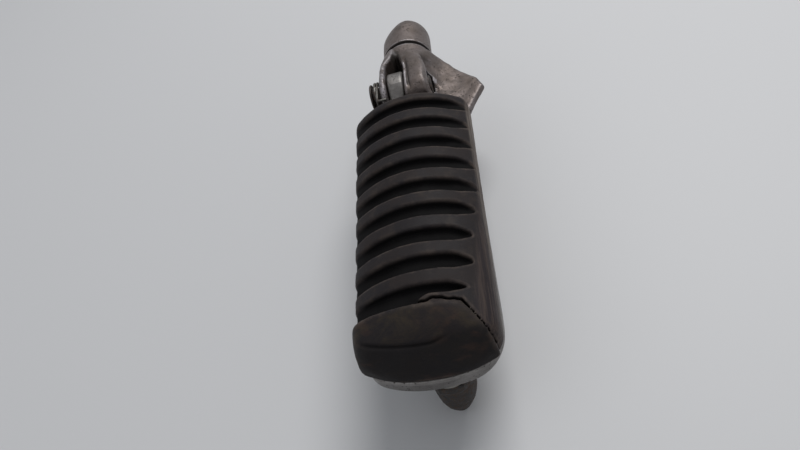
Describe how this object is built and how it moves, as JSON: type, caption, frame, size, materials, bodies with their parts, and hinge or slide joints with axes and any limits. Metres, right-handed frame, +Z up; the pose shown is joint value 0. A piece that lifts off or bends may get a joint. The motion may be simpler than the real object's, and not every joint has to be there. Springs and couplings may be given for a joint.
{
  "type": "motorcycle foot peg",
  "caption": "Folding rider foot peg: a round spigot plugs into the frame, and a ribbed rubber tread on a cast core hinges up on a sprung pin, with a bank sensor under its outer end.",
  "frame": {"origin": "on the spigot's axis, at the spigot's shoulder groove", "axes": "+Y along the spigot into the motorcycle's frame, -Y to the peg's outer end, +Z up in use, +X to the side of the stop wing"},
  "size_m": [0.0473, 0.1524, 0.0472],
  "materials": {
    "cast_bracket": "pitted cast aluminium, worn and grimy",
    "cast_core": "matte cast aluminium",
    "tread_rubber": "worn, dusty black rubber",
    "dark_steel": "dark oiled steel",
    "zinc_steel": "dull zinc plating",
    "spring_steel": "dull spring wire with a little rust",
    "rusty_steel": "dark rusty steel"
  },
  "bodies": {
    "bracket": {"mounting_bracket": "cast_bracket", "pivot_pin": "dark_steel", "pin_washer": "zinc_steel", "retaining_ring": "dark_steel", "return_spring": "spring_steel"},
    "peg": {"peg_core": "cast_core", "tread_rubber": "tread_rubber", "tread_plate": "dark_steel", "weld_nuts": "zinc_steel", "tread_bolts": "zinc_steel", "bolt_washers": "zinc_steel", "bank_sensor": "rusty_steel", "sensor_washer": "zinc_steel"}
  },
  "joints": [
    {"name": "peg_fold", "type": "hinge", "parent": "bracket", "child": "peg", "pos_m": [0, -0.022, 0.003], "axis": [-1, 0, 0], "range_deg": [0, 85], "stiffness_Nm_per_rad": 0.15, "springref_deg": -45.84, "deforming": ["return_spring"]}
  ]
}
